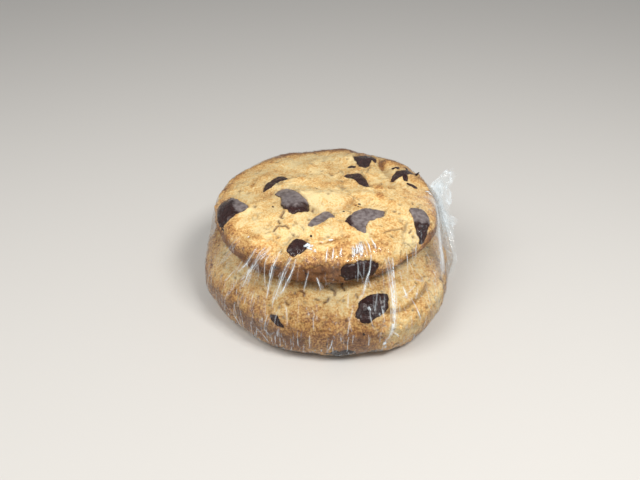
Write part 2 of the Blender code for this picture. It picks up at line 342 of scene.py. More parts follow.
# Route, depth, width, darkness and bake of each mark that the photograph shows
UPPER_MARKS = (
    (((-7, -6.5, 38), (-2.7, -7.8, 38), (3, -7.8, 38), (6.5, -5.7, 38), (9, -3, 38)), 1.3, 1.1, 0.3, 0.1),
    (((-26.8, -2.7, 37), (-21.8, -0.6, 38), (-17.8, 3.5, 38)), 0.5, 1.4, 0.15, 0.1),
    (((-37, 10, 34), (-32.5, 18.5, 35), (-27, 25, 35), (-20.8, 29.2, 36)), -0.5, 2.2, 0, 0.22),
    (((-13.5, 10.8, 39), (-11, 11.9, 39), (-8, 13.2, 39)), 0.5, 0.5, 0.7),
    (((-14, -10.8, 38), (-15.1, -12.4, 38), (-14.6, -13.4, 38)), 0.7, 0.42, 1),
    (((-15.6, -14.6, 38), (-15.4, -16.2, 38)), 0.6, 0.42, 1),
    (((-15.9, -17.2, 38), (-17.2, -19.1, 37)), 0.7, 0.42, 1),
    (((-15.2, -17.4, 38), (-13.2, -17.6, 38), (-12.2, -18.9, 38)), 0.5, 0.35, 1),
    (((18.8, -19.4, 36), (21.3, -17.6, 36), (25.4, -15.9, 36)), 0.5, 0.3, 0.7),
    (((-2, -26, 37), (1.5, -24.6, 37), (7, -22.5, 37)), 0.5, 0.8, 0.2, 0.45),
    (((21, 25, 37), (22.5, 18, 37), (24.5, 12.5, 37), (23, 7, 37)), 1, 1.3, 0.35, 0.2),
    (((18.2, 6.3, 38),), -0.6, 1.8, 0, 0.5),
    (((18.8, 0, 38),), -0.5, 1.6, 0, 0.45),
    (((-5, -1.5, 38), (3, 0, 38)), -0.9, 4, 0, -0.25),
    (((14.3, 0.2, 38),), -0.5, 2.6, 0, -0.25),
    (((2, 16.6, 38),), 0.6, 1, 0.35, 0.1),
    (((-20, -24, 37), (-17, -26, 36)), 0.3, 2.4, 0, 0.15),
    (((4, -26, 36), (12, -27, 36), (18, -25, 36)), -0.4, 2.4, 0, 0.15),
    (((21.2, 28.6, 37), (21.4, 22.9, 37)), 0.7, 0.8, 0.5, 0.3),
    (((23.5, 26, 37),), -0.7, 3.2, 0, 0.35),
    (((26.5, 11, 37), (28.5, 6, 37), (33, 4, 36)), 0.6, 0.9, 0.15, 0.2),
    (((-25, 15.2, 37), (-26.6, 8.5, 37)), 0.4, 0.7, 0.15, 0.25),
    (((-20.2, 26.4, 37),), -0.5, 1, 0.1, 0.5),
    (((-36.2, 11.1, 34),), 0.3, 0.8, 0.4, 0.4),
    (((-26.3, -17.7, 36), (-21.8, -21.5, 36)), 0.5, 1.1, 0.05, 0.35),
    (((-27, -14, 36), (-19, -21, 37), (-9, -19, 38)), -0.1, 5.5, 0, -0.22),
    (((-10.2, -15.6, 38), (-9.6, -16.6, 38)), 0.4, 0.4, 0.6),
    (((-3.6, 4.6, 38), (-3, 3.6, 38)), 0.4, 0.35, 0.8),
    (((1.2, 3.4, 38), (2.2, 1.4, 38)), 0.4, 0.45, 0.5),
    (((-2, -23.4, 37),), 0.3, 0.8, 0.2, 0.5),
    (((14.5, -20, 37), (15.8, -21.6, 37)), 0.5, 0.6, 0.3, 0.2),
    (((16.8, -23.2, 36), (19.5, -24.4, 36)), 0.5, 0.6, 0.3, 0.2),
    (((-6.4, -33, 31.2), (-6.2, -33.4, 28.2)), 0.6, 0.45, 0.9),
    # Painted shade: the upper cookie's left wall darkened where the groove's shade falls
    (((-38, -6, 29), (-33, -19, 29), (-24, -28, 29)), 0.2, 4.5, 0, 0.4),
    (((26.2, -18.2, 24),), 0.5, 1.2, 0.8),
    (((28, -21, 32), (23, -25, 31)), -0.2, 5, 0, -0.35),
    (((-16, -33, 31), (-6, -35, 31.5), (6, -34.5, 31)), 0.1, 3, 0, 0.42),
    (((-14, 36, 34), (2, 39, 34), (18, 38, 34)), -0.1, 5, 0, 0.70),
)
LOWER_MARKS = (
    (
        ((19.5, -36.2, 17), (25.6, -34.3, 17), (28.9, -30.9, 17), (31.7, -26.8, 17), (35, -22, 17)),
        1.2,
        0.7,
        0.6,
    ),
    (((39.9, -16.5, 15), (41.1, -16.9, 12)), 0.7, 0.7, 0.9, 0.3),
    (((1.6, -29.5, 21), (2.9, -30.2, 21), (2.7, -31.6, 21)), 0.7, 0.38, 1),
    (((5.3, -27.3, 22), (5.2, -28.6, 21), (6.1, -30.1, 21)), 0.7, 0.38, 1),
    (((-0.6, -34.8, 20), (0.6, -34.2, 20), (0.9, -32.7, 20)), 0.7, 0.38, 1),
    (((-8.4, -30.3, 21), (-7.2, -31.2, 21), (-7.4, -32.7, 21)), 0.7, 0.38, 1),
    (((-3.5, -33.6, 20), (-2.4, -34, 20)), 0.6, 0.34, 1),
    (((9.5, -31.5, 20), (10.4, -33.2, 20)), 0.6, 0.34, 0.9),
    (((-13, -33.5, 19), (-12.2, -35.2, 19)), 0.6, 0.34, 0.9),
    (((-33, -27, 10), (-22, -36, 9), (-8, -41, 8)), 0.5, 1.6, 0.2, 0.2),
    (((25, -39, 11), (34, -31, 12), (39, -22, 12)), -0.2, 6.5, 0, -0.5),
    (((-38, -14, 19), (-30, -26, 19)), -0.2, 5, 0, -0.12),
)
CRACK_SEED, CRACK_COUNT = 5, 70  # short cracks in each cookie's shoulder and wall

FLECK_HIGH = 0.45
# Small pieces of chocolate on the skin: place, length, width and turn in degrees
FLECKS = (
    ((29, 14, 37), 6, 2.4, -60),
    ((31.4, 10.2, 36.5), 4.6, 1.9, -10),
    ((33, 21, 35), 4.2, 2.4, 20),
    ((26, 20.5, 37.5), 3.6, 1.5, 35),
    ((31, 23.5, 36), 3, 1.2, 75),
    ((9.9, 21.5, 38), 3, 2, 10),
    ((10.1, -4.7, 38), 0.9, 0.6, 0),
    ((11.5, -4.3, 38), 1, 0.7, 60),
    ((11, -5.8, 38), 0.7, 0.5, 30),
    ((6, -9.6, 38), 1, 0.7, 30),
    ((-18, -6.5, 38), 1, 0.7, 0),
    ((-4.9, -22.3, 37), 1.1, 0.8, 0),
    ((15, 24, 38), 1, 0.6, 80),
    ((-6.4, -33.5, 30), 1.4, 0.6, 85),
    ((-16, -33, 31), 1, 0.8, 0),
    ((12, -42, 13), 1.1, 0.7, 20),
)


class Streak(NamedTuple):
    """A taut wrinkle of the film: its turn in degrees and level at each end, and how white it is."""

    first: tuple
    last: tuple
    # partly the folded film's own whitening, partly painted highlight
    white: float
    wide: float = 0.42


# The wrinkles that the photograph shows
STREAKS = (
    ((-143, 34.5), (-152, 21.5), 0.35),
    ((-141, 34), (-150, 23), 0.3),
    ((-129, 34), (-136, 25.5), 1, 0.7),
    ((-125.6, 34.5), (-134, 23), 0.9, 0.6),
    ((-123, 34.5), (-132, 21.5), 1, 0.8),
    ((-121, 34), (-121, 30), 0.6),
    ((-116.5, 34.5), (-118, 21.5), 0.9, 0.6),
    ((-109.5, 34), (-114, 22), 0.95, 0.8),
    ((-106.5, 34), (-112, 23), 0.85, 0.6),
    ((-99.5, 31.5), (-101, 26), 0.45),
    ((-95, 29.5), (-93, 26.5), 1, 0.5),
    ((-138, 25.5), (-144, 19), 0.6),
    ((-136, 22.5), (-140, 15), 0.4),
    ((-131, 20), (-133, 14), 0.3),
    ((-125, 22), (-126, 15), 0.35),
    ((-138, 9), (-130, 4), 0.8),
    ((-122, 9.5), (-116, 5), 0.6),
    ((-117, 10), (-114, 7.5), 0.6),
    ((-108, 20), (-107, 15.5), 0.5),
    ((-97, 12), (-97, 7), 0.6),
    ((-88, 11), (-89.5, 7), 0.9),
    ((-74, 34), (-75.5, 28.5), 0.4),
    ((-71, 33), (-72, 29.5), 0.25),
    ((-66, 34), (-74, 24), 0.95),
    ((-68.5, 31), (-76, 22.5), 0.45),
    ((-55, 32), (-59, 24), 0.9),
    ((-59, 24), (-65, 11), 0.8),
    ((-57, 32), (-65.3, 10), 0.7, 0.8),
    ((-58.8, 32), (-66.3, 9), 0.7, 0.7),
    ((-62, 30), (-69, 12), 0.2),
    ((-67, 24), (-69.5, 19.5), 0.4),
    ((-54, 23.5), (-54, 20.5), 0.8),
    ((-45, 32), (-49, 27), 0.6),
    ((-36, 32), (-41, 27.5), 0.5),
    ((-39, 31), (-43, 28), 0.35),
    ((-52, 19.5), (-51, 13), 0.7),
    ((-79, 20.5), (-80.5, 17.5), 0.5),
    ((-66.9, 8.4), (-64.2, 12.7), 0.6),
    ((-63.8, 12.4), (-61.4, 10.4), 0.7),
    ((-65.3, 10.1), (-62.5, 13.8), 0.6),
    ((-48, 22.3), (-52, 21.6), 0.6),
    ((-52, 21.6), (-55.9, 20.9), 0.5),
    ((-46.8, 21.1), (-49.7, 19.2), 0.6),
    ((-31.2, 20.2), (-38, 14), 0.4),
    ((-47, 24), (-41, 21), 0.45),
)


# Painted highlights on the film, broken up: place, size in mm and whiteness
GLINTS = (
    ((-5.6, -27.6, 36.5), 2.2, 1),
    ((-3.6, -29, 36), 1.4, 0.9),
    ((-24.8, -20.9, 35.5), 1.6, 0.8),
    ((-1.5, -25.8, 37), 1.3, 0.8),
    ((1.5, -24.8, 37.2), 1.4, 0.9),
    ((5, -23.4, 37.2), 1.4, 0.8),
    ((10.6, -19.6, 36.8), 1.3, 1),
    ((-35, -2.6, 33.5), 1.8, 0.8),
    ((-37.4, -6.5, 31.5), 1.6, 0.7),
    ((-10.6, 0.8, 38.5), 1.8, 0.9),
    ((31.8, -4.4, 36), 1.6, 0.9),
    ((36.8, 8, 34.4), 2.4, 1),
    ((13.8, -38.6, 20.5), 1.3, 1),
    ((12.5, -37.5, 19), 1.4, 1),
    ((19.2, -42.9, 8.4), 2.2, 1),
    ((21.3, -41.9, 11.7), 1.8, 0.9),
    ((23.9, -40.7, 9.9), 1.8, 0.9),
    ((22, -42, 9), 1.8, 0.9),
    ((-12.5, -44, 9.5), 1.6, 0.9),
    ((-31, -29, 9), 2.2, 0.6),
    ((-36, -12, 22), 2.6, 0.5),
    ((-35, -16, 19), 2.2, 0.5),
    ((31, -30, 19), 1.8, 0.7),
    ((-33, -20, 30.5), 2.4, 0.8),
    ((-30, -25, 31), 1.8, 0.8),
    ((-13.5, 3, 38.8), 1.6, 0.9),
    ((-28.1, -31.5, 8.5), 2.2, 0.8),
    ((-24.5, -35.1, 9.1), 2, 0.7),
    ((-11.6, -42, 14.5), 1.4, 0.8),
    ((26.5, -33.5, 21.8), 1.8, 0.7),
    ((30.4, -31, 20.4), 1.6, 0.8),
    ((-25, -29, 32.5), 1.6, 0.8),
)
# Painted highlights: short white wrinkles along the upper cookie's front rim
RIM_GLEAMS = (-90, -86.5, -82, -75.5, -74.4, -72.5, -71.2, -70, -68.8, -67.2, -64.6, -61)  # turns, in degrees
# Level, and the turn in degrees where the film's whitish stem runs up to the tail; then its widths
STEM_LINE = ((18.0, -21.5), (28.0, -14.0), (34.0, 2.0))
STEM_WIDE, STEM_HEAD_WIDE = 2.7, 2.0
STREAK_BOW = 0.045  # how far a wrinkle bows, as a share of its length
STREAK_SEED, STREAK_COUNT = 8, 230  # finer wrinkles all round, to go with the ones seen


def cell_random(cells, salt):
    """A random number from 0 to 1 for each whole-numbered cell."""
    whole = cells.astype(np.int64).astype(np.uint32)
    mixed = whole[..., 0] * np.uint32(374761393) + whole[..., 1] * np.uint32(668265263)
    mixed = mixed + whole[..., 2] * np.uint32(2246822519) + np.uint32(salt * 7919 + 13)
    mixed = (mixed ^ (mixed >> np.uint32(15))) * np.uint32(2654435761)
    mixed = (mixed ^ (mixed >> np.uint32(13))) * np.uint32(3266489917)
    mixed = mixed ^ (mixed >> np.uint32(16))
    return mixed / 2.0**32


def smooth_noise(points, pitch, salt):
    """Gradient noise from about -1 to 1 over a pitch in mm. Each salt gives its own."""
    spots = points / pitch + 0.37 * salt
    base = np.floor(spots)
    part = spots - base
    ease = part**3 * (part * (part * 6.0 - 15.0) + 10.0)
    total = np.zeros(len(points))
    for corner in itertools.product((0.0, 1.0), repeat=3):
        cell = base + corner
        slope = np.stack([cell_random(cell, salt + axis) for axis in range(3)], -1) * 2.0 - 1.0
        weight = np.prod(np.where(np.array(corner) > 0, ease, 1.0 - ease), axis=1)
        total += weight * (slope * (part - corner)).sum(1)
    return total * 1.6


def fractal(points, pitch, salt, octaves=3):
    """Noise with finer noise on it."""
    return sum(smooth_noise(points, pitch / 2**n, salt + 5 * n) / 2**n for n in range(octaves))


def scattered(points, pitch, salt):
    """Distances, in pitches, to the nearest two of a scatter of seeds, and the nearest's own number."""
    spots = points / pitch
    base = np.floor(spots)
    first = np.full(len(points), 9.0)
    second = first.copy()
    owner = np.zeros(len(points))
    for shift in itertools.product((-1.0, 0.0, 1.0), repeat=3):
        cell = base + shift
        seed = cell + np.stack([cell_random(cell, salt + axis) for axis in range(3)], -1)
        away = np.linalg.norm(seed - spots, axis=1)
        closer = away < first
        second = np.where(closer, first, np.minimum(second, away))
        owner = np.where(closer, cell_random(cell, salt + 3), owner)
        first = np.where(closer, away, first)
    return first, second, owner


def step(low, high, values):
    """A smooth step from 0 at low to 1 at high."""
    share = np.clip((values - low) / (high - low), 0.0, 1.0)
    return share * share * (3.0 - 2.0 * share)


def bump(away, wide):
    return np.exp(-((away / wide) ** 2))


def outline_bulge(cookie, turn):
    """How far the outline stands out of its ellipse at a turn in radians."""
    bulge = 0.0
    for middle, wide, amount in cookie.lobes:
        away = math.remainder(turn - math.radians(middle), math.tau)
        bulge += amount * math.exp(-((away / math.radians(wide)) ** 2))
    return bulge


def fold_depth(cookie, point):
    """How deep the cookie's furrows are at a point of its skin."""
    depth = 0.0
    for start, end, deep, wide in cookie.folds:
        first, last = Vector(start), Vector(end)
        along = last - first
        share = max(0.0, min(1.0, (point - first).dot(along) / along.length_squared))
        away = (point - first - along * share).length
        depth += deep * math.exp(-((away / wide) ** 2))
    return depth


def skin_point(cookie, ball):
    """The place in mm of the cookie's skin for a point of the unit ball."""
    flat = math.hypot(ball.x, ball.y)
    turn = math.atan2(ball.y, ball.x)
    power = 2.0 / cookie.square
    out = flat**power
    rise = cookie.crown - cookie.waist if ball.z > 0 else cookie.waist - cookie.keel
    bulge = outline_bulge(cookie, turn)
    point = Vector(
        (
            cookie.centre[0] + (cookie.half_width + bulge) * out * math.cos(turn),
            cookie.centre[1] + (cookie.half_depth + bulge) * out * math.sin(turn),
            cookie.waist + math.copysign(abs(ball.z) ** power, ball.z) * rise,
        )
    )
    shift = Vector((cookie.seed, -cookie.seed, 2 * cookie.seed))
    lump = BROAD_LUMP * noise.noise(point / BROAD_PITCH + shift)
    lump += SMALL_LUMP * noise.noise(point / SMALL_PITCH - shift)
    point += ball.normalized() * (lump - fold_depth(cookie, point))
    point.z = max(cookie.floor, min(cookie.ceiling, point.z))
    return point


def vectors_of(items, name):
    """One vector of each of a mesh's items, as rows."""
    flat = np.empty(len(items) * 3, np.float32)
    items.foreach_get(name, flat)
    return flat.reshape(-1, 3).astype(float)


def set_values(mesh, name, values):
    """Stores a number for each point, for the material to read."""
    mesh.attributes.new(name, "FLOAT", "POINT").data.foreach_set("value", values.astype(np.float32))


def grid_mesh(name, points, closed):
    """A mesh from points in rows and columns; closed joins the last column to the first."""
    columns, rows = points.shape[:2]
    mesh = bpy.data.meshes.new(name)
    last = columns if closed else columns - 1
    left = np.arange(last)[:, None] * rows + np.arange(rows - 1)[None, :]
    right = (np.arange(last)[:, None] + 1) % columns * rows + np.arange(rows - 1)[None, :]
    faces = np.stack([left, left + 1, right + 1, right], -1).reshape(-1, 4)
    mesh.from_pydata((points.reshape(-1, 3) * MM).tolist(), [], faces.tolist())
    mesh.shade_smooth()
    return mesh


def add_piece(name, mesh, material, nodes):
    """An object that rides on the part, stands for its nodes and takes a slot's finish."""
    piece = bpy.data.objects.new(name, mesh)
    bpy.context.scene.collection.objects.link(piece)
    mesh.materials.append(material)
    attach(piece, "root")
    if nodes:
        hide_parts(*nodes)
    return piece


def smooth_skin(cookie):
    """The cookie's even, fine mesh, before its relief."""
    form = bmesh.new()
    bmesh.ops.create_uvsphere(form, u_segments=FORM_SEGMENTS, v_segments=FORM_RINGS, radius=1.0)
    for vertex in form.verts:
        vertex.co = skin_point(cookie, vertex.co) * MM
    mesh = bpy.data.meshes.new(cookie.name + "_form")
    form.to_mesh(mesh)
    form.free()
    shape = bpy.data.objects.new(cookie.name + "_form", mesh)
    bpy.context.scene.collection.objects.link(shape)
    even = shape.modifiers.new("even", "REMESH")
    even.mode = "VOXEL"
    even.voxel_size = cookie.grain * MM
    even.use_smooth_shade = True
    graph = bpy.context.evaluated_depsgraph_get()
    made = bpy.data.meshes.new_from_object(shape.evaluated_get(graph))
    bpy.data.objects.remove(shape)
    bpy.data.meshes.remove(mesh)
    made.name = cookie.name + "_skin"
    return made


def tree_of(*meshes):
    """A search tree over meshes in metres."""
    both = bmesh.new()
    for mesh in meshes:
        both.from_mesh(mesh)
    tree = BVHTree.FromBMesh(both)
    both.free()
    return tree


def side_hit(cookie, turn, level, skin):
    """The place in metres and the normal of a cookie's side, at a turn in radians and a level."""
    way = Vector((-math.cos(turn), -math.sin(turn), 0.0))
    start = Vector((*cookie.centre, level)) - way * FAR
    place, normal, _, _ = skin.ray_cast(start * MM, way)
    return place, normal


def seat_of(chip, skin):
    """The chip's seat on the skin in mm, and its axes: right and up along the skin, and out of it."""
    if chip in SIDE_CHIPS:
        place, normal = side_hit(chip.cookie, math.radians(chip.seat[0]), chip.seat[1], skin)
    else:
        place, normal, _, _ = skin.ray_cast(Vector((*chip.seat, FAR)) * MM, DOWN)
    right = Vector((1.0, 0.0, 0.0))
    if abs(normal.z) < STEEP:
        right = Vector((0.0, 0.0, 1.0)).cross(normal).normalized()
    up = normal.cross(right).normalized()
    right = up.cross(normal)
    return np.array(place) / MM, np.array((right, up, normal))


def smooth_outline(points, count=72):
    """A closed smooth curve through the points."""
    ring = np.array(points[::-1], float)
    total = len(ring)
    spots = []
    for number in range(count):
        where = number * total / count
        at, share = int(where), where - int(where)
        a, b, c, d = (ring[(at + offset) % total] for offset in (-1, 0, 1, 2))
        bent = 2 * b + (c - a) * share + (2 * a - 5 * b + 4 * c - d) * share**2
        spots.append(0.5 * (bent + (3 * b - a - 3 * c + d) * share**3))
    return np.array(spots)


def chip_number(chip):
    """A number of the chip's own, to vary its noise."""
    return float(sum(map(ord, chip.name)))


def rough_outline(chip):
    """The chip's outline with small broken edges."""
    ring = smooth_outline(chip.outline)
    centre = ring.mean(0)
    spots = np.column_stack([ring, np.full(len(ring), chip_number(chip))])
    grown = 1.0 + 0.06 * smooth_noise(spots, 1.5, 17) + 0.05 * smooth_noise(spots, 0.7, 23)
    return centre + (ring - centre) * grown[:, None]


def outline_distance(spots, ring):
    """How far each spot is outside a closed outline; inside is negative."""
    nxt = np.roll(ring, -1, axis=0)
    edge = nxt - ring
    offset = spots[:, None, :] - ring[None, :, :]
    share = np.clip((offset * edge).sum(-1) / (edge**2).sum(-1), 0.0, 1.0)
    away = np.linalg.norm(offset - share[..., None] * edge, axis=-1).min(1)
    above = (ring[None, :, 1] > spots[:, 1:2]) != (nxt[None, :, 1] > spots[:, 1:2])
    rise = np.where(np.abs(edge[:, 1]) < 1e-9, 1e-9, edge[:, 1])
    cross = ring[None, :, 0] + (spots[:, 1:2] - ring[None, :, 1]) * edge[:, 0] / rise
    inside = (above & (spots[:, 0:1] < cross)).sum(1) % 2 == 1
    return np.where(inside, -away, away)


def laid_route(skin, route):
    """A mark's route brought down onto the skin, its points at most about 1 mm apart."""
    spots = [np.array(route[-1], float)]
    for start, end in zip(route, route[1:]):
        first, last = np.array(start, float), np.array(end, float)
        count = max(1, round(np.linalg.norm(last - first)))
        spots += [first + (last - first) * number / count for number in range(count)]
    spots = np.array(spots[1:] + spots[:1])
    if len(spots) > 2:
        shake = np.column_stack([smooth_noise(spots, 2.0, salt) for salt in (3, 7, 12)])
        spots = spots + 0.45 * shake
    return np.array([skin.find_nearest(Vector(spot) * MM)[0] for spot in spots]) / MM


def route_distance(points, route):
    away = np.full(len(points), 1e3)
    for first, last in zip(route, np.vstack([route[1:], route[-1:]])):
        edge = last - first
        share = np.clip((points - first) @ edge / max(edge @ edge, 1e-9), 0.0, 1.0)
        away = np.minimum(away, np.linalg.norm(points - first - share[:, None] * edge, axis=1))
    return away


def short_cracks(cookie, skin):
    """Small cracks scattered over a cookie's shoulder and wall."""
    rng = np.random.default_rng(CRACK_SEED + int(cookie.seed))
    top = min(cookie.crown, cookie.ceiling)
    for _ in range(CRACK_COUNT):
        turn, level = rng.uniform(0.0, math.tau), rng.uniform(cookie.floor + 3.0, top - 1.2)
        place, normal = side_hit(cookie, turn, level, skin)
        lean, bend = rng.normal(0.0, 1.0, 3), rng.normal(0.0, 0.35, 3)
        wide, dark = rng.uniform(0.18, 0.38), rng.uniform(0.3, 0.9)
        long = rng.uniform(0.2, 1.1)
        if place is None:
            continue
        flat = Vector(lean - np.array(normal) * (lean @ np.array(normal))).normalized()
        middle = np.array(place) / MM
        half = np.array(flat) * long
        route = (tuple(middle - half), tuple(middle + bend), tuple(middle + half))
        yield Mark(route, 0.5, wide, dark)


CHIP_UNDER = 0.4  # how far a chip runs on under the dough's edge
CHIP_RAY = 6.0  # the skin under a chip is felt for from this far out
CHIP_FALL = (-4.0, 2.0)  # how far a chip's face may follow the skin in and out
# The loft of a chip, from the middle of its face to its buried point: scale, and depth in mm
CHIP_LOFT = (
    *((number / 10.0, 0.0) for number in range(7)),
    (0.68, 0.01),
    (0.76, 0.02),
    (0.83, 0.05),
    (0.89, 0.09),
    (0.94, 0.18),
    (0.98, 0.34),
    (1.0, 0.55),
    (1.01, 0.9),
    (1.0, 1.6),
    (0.95, 2.6),
    (0.8, 3.8),
    (0.5, 4.8),
    (0.0, 5.2),
)


def chip_mesh(chip, place, axes, ring, skin):
    """A chip whose face follows the skin it is pressed into."""
    centre = ring.mean(0)
    reach = np.linalg.norm(ring - centre, axis=1, keepdims=True)
    outer = centre + (ring - centre) * (1.0 + CHIP_UNDER / reach)
    layers = []
    for scale, depth in CHIP_LOFT:
        spots = centre + (outer - centre) * max(scale, 0.01)
        layers.append(np.column_stack([spots, np.full(len(spots), -depth)]))
    local = np.stack(layers, 1)
    flat = local.reshape(-1, 3)
    fall = []
    for right, up, _ in flat:
        start = place + axes[0] * right + axes[1] * up + axes[2] * CHIP_RAY
        hit = skin.ray_cast(Vector(start) * MM, Vector(-axes[2]))
        fall.append(CHIP_RAY - hit[3] / MM if hit[0] else -3.0)
    fall = np.clip(np.array(fall), *CHIP_FALL)
    spots = np.column_stack([flat[:, :2], np.full(len(flat), chip_number(chip))])
    pressed = np.zeros(len(flat))
    if chip.grey:
        way, back = math.radians(chip.grey[0]), chip.grey[1]
        ahead = flat[:, 0] * math.cos(way) + flat[:, 1] * math.sin(way) + back
        shaken = 1.6 * smooth_noise(spots, 2.4, 29) + 0.8 * smooth_noise(spots, 1.0, 33)
        # where the face turns grey: partly dulled by the film, partly painted reflection
        pressed = step(-0.8, 0.8, ahead + shaken)
    lumps = 0.34 * smooth_noise(spots, 2.3, 31) + 0.16 * smooth_noise(spots, 1.0, 37)
    dome = 0.6 * (1.0 - (np.linalg.norm(flat[:, :2] - centre, axis=1) / 6.0) ** 2)
    face = chip.proud + chip.lean[0] * flat[:, 0] + chip.lean[1] * flat[:, 1]
    face += (0.25 + 0.75 * (1.0 - pressed)) * lumps + (1.0 - pressed) * (dome - 0.35)
    height = flat[:, 2] + 0.9 * fall + face
    world = place + flat[:, :1] * axes[0] + flat[:, 1:2] * axes[1] + height[:, None] * axes[2]
    world[:, 2] = np.maximum(world[:, 2], 0.4)
    mesh = grid_mesh(chip.name + "_fine", world.reshape(local.shape), True)
    set_values(mesh, "pressed", step(-0.6, -0.1, flat[:, 2]) * pressed)
    return mesh


def fleck_mesh(skins):
    """All the flecks as one mesh of small flattened lumps."""
    whole = bmesh.new()
    for number, (spot, long, wide, turn) in enumerate(FLECKS):
        hits = [skin.find_nearest(Vector(spot) * MM) for skin in skins]
        place, normal, _, _ = min(hits, key=lambda hit: hit[3])
        spin = Matrix.Rotation(math.radians(turn), 4, "Z")
        half = (long / 2, wide / 2, min(FLECK_HIGH, wide / 3))
        size = Matrix.Diagonal((*(length * MM for length in half), 1.0))
        lay = Matrix.Translation(place) @ normal.to_track_quat("Z", "X").to_matrix().to_4x4() @ spin @ size
        made = bmesh.ops.create_icosphere(whole, subdivisions=3, radius=1.0)["verts"]
        for vertex in made:
            grown = 1.0 + 0.3 * noise.noise(vertex.co * 1.6 + Vector((number, 0.0, 0.0)))
            vertex.co = lay @ (vertex.co * grown)
    mesh = bpy.data.meshes.new("chocolate_flecks")
    whole.to_mesh(mesh)
    whole.free()
    mesh.shade_smooth()
    set_values(mesh, "pressed", np.zeros(len(mesh.vertices)))
    return mesh


def skin_relief(cookie, points, normals):
    """The dough's small lumps, grain, pores and cracks in mm, and the painted shade in a pore or crack."""
    side = 1.0 - np.abs(normals[:, 2])
    rim = step(0.06, 0.45, side)
    relief = 0.46 * smooth_noise(points, 6.5, 41) + (0.24 + 0.12 * rim) * smooth_noise(points, 2.8, 43)
    relief += (0.15 + 0.17 * rim) * fractal(points, 1.6, 47, 2)
    warped = points + 0.8 * np.column_stack([smooth_noise(points, 3.0, salt) for salt in (51, 57, 61)])
    near, _, owner = scattered(warped, 2.1, 71)
    pores = (owner > 0.82 - 0.20 * rim) * bump(near * 2.1, 0.34 + 0.22 * owner)
    grains, _, size = scattered(points, 1.7, 79)
    relief += (0.07 + 0.30 * rim) * (0.4 + 0.6 * size) * (0.55 - grains)
    first, second, _ = scattered(warped, 6.5, 83)
    broken = step(0.2, 0.6, smooth_noise(points, 9.0, 91) + 0.08 * rim)
    cracks = bump((second - first) * 6.5, 0.28) * broken
    first, second, _ = scattered(warped, 2.7, 97)
    crumbly = step(0.15, 0.65, smooth_noise(points, 7.0, 101) + 0.40 * rim)
    crackle = bump((second - first) * 2.7, 0.26) * crumbly
    relief -= 0.5 * pores + 0.5 * cracks + 0.22 * crackle
    # painted shade in pores, cracks and crackle
    pit = np.clip(0.9 * pores + 0.7 * cracks + 0.28 * crackle, 0.0, 1.0)
    return relief, pit


def browning(cookie, points, normals, relief):
    """How brown the dough is baked, from pale, 0, to dark, 1."""
    turn = np.arctan2(points[:, 1] - cookie.centre[1], points[:, 0] - cookie.centre[0])
    reach = np.hypot(points[:, 0] - cookie.centre[0], points[:, 1] - cookie.centre[1])
    edge = cookie.half_width + np.array([outline_bulge(cookie, t) for t in turn])
    share = reach / edge
    level = points[:, 2]
    top = step(0.0, 0.5, normals[:, 2])
    rim = bump(share - cookie.rim[0], cookie.rim[1])
    # Darker towards the foot of the wall: partly baked tone, partly painted shade where it turns under
    under = step(cookie.waist + 4.0, cookie.waist - 5.0, level)
    brown = 0.22 + 0.28 * rim + 0.22 * (1.0 - top) + cookie.browned_and_shaded * under
    brown += cookie.band[2] * bump(level - cookie.band[0], cookie.band[1])
    brown += 0.22 * smooth_noise(points, 12.0, 111) + 0.15 * smooth_noise(points, 5.0, 113)
    brown += 0.36 * relief
    return brown


def dress_cookie(cookie, mesh, skin, chips):
    """Gives the even skin its relief, marks, sockets and browning."""
    points = vectors_of(mesh.vertices, "co") / MM
    normals = vectors_of(mesh.vertex_normals, "vector")
    relief, pit = skin_relief(cookie, points, normals)
    bake = browning(cookie, points, normals, relief)
    seen = (Mark(*row) for row in (UPPER_MARKS if cookie is UPPER else LOWER_MARKS))
    for mark in (*seen, *short_cracks(cookie, skin)):
        route = laid_route(skin, mark.route)
        low, high = route.min(0) - 4 * mark.wide, route.max(0) + 4 * mark.wide
        near = np.nonzero(((points > low) & (points < high)).all(1))[0]
        shape = bump(route_distance(points[near], route), mark.wide)
        relief[near] -= mark.deep * shape
        bake[near] += mark.bake * shape
        pit[near] = np.maximum(pit[near], mark.dark * shape)
    lip = np.zeros(len(points))
    for place, axes, ring in chips:
        offset = points - place
        near = np.nonzero(np.linalg.norm(offset, axis=1) < SOCKET_REACH)[0]
        near = near[np.abs(offset[near] @ axes[2]) < SOCKET_HIGH]
        spots = points[near]
        away = outline_distance((offset[near] @ axes.T)[:, :2], ring)
        away += 0.40 * smooth_noise(spots, 1.7, 119) + 0.15 * smooth_noise(spots, 0.9, 120)
        wave = 0.6 + 0.7 * smooth_noise(spots, 2.4, 121)
        sink = SOCKET_DEEP * step(0.2, -0.55, away)
        raised = LIP_HIGH * wave * bump(away - 0.75, 0.8)
        groove = GROOVE_DEEP * bump(away - 0.05, 0.24) * step(-0.2, 0.4, smooth_noise(spots, 3.0, 127))
        relief[near] = relief[near] * step(-0.4, 0.8, away) + raised - groove - sink
        # painted shade in the crevice at the chip's edge
        lip[near] = np.maximum(lip[near], bump(away - 0.1, 0.4))
        pit[near] *= step(0.1, 0.6, away)
    level = points[:, 2]
    free = step(0.0, 1.2, np.abs(level - cookie.floor)) * step(0.0, 1.2, cookie.ceiling - level)
    relief *= 0.15 + 0.85 * free  # less of it on the flat faces
    shaped = points + normals * relief[:, None]
    shaped[:, 2] = np.maximum(shaped[:, 2], FLOOR_SKIN if cookie is LOWER else cookie.floor)
    mesh.vertices.foreach_set("co", (shaped * MM).astype(np.float32).ravel())
    mesh.update()
    mesh.shade_smooth()
    for name, values in (("bake", bake), ("pit", pit), ("lip", lip)):
        set_values(mesh, name, values)


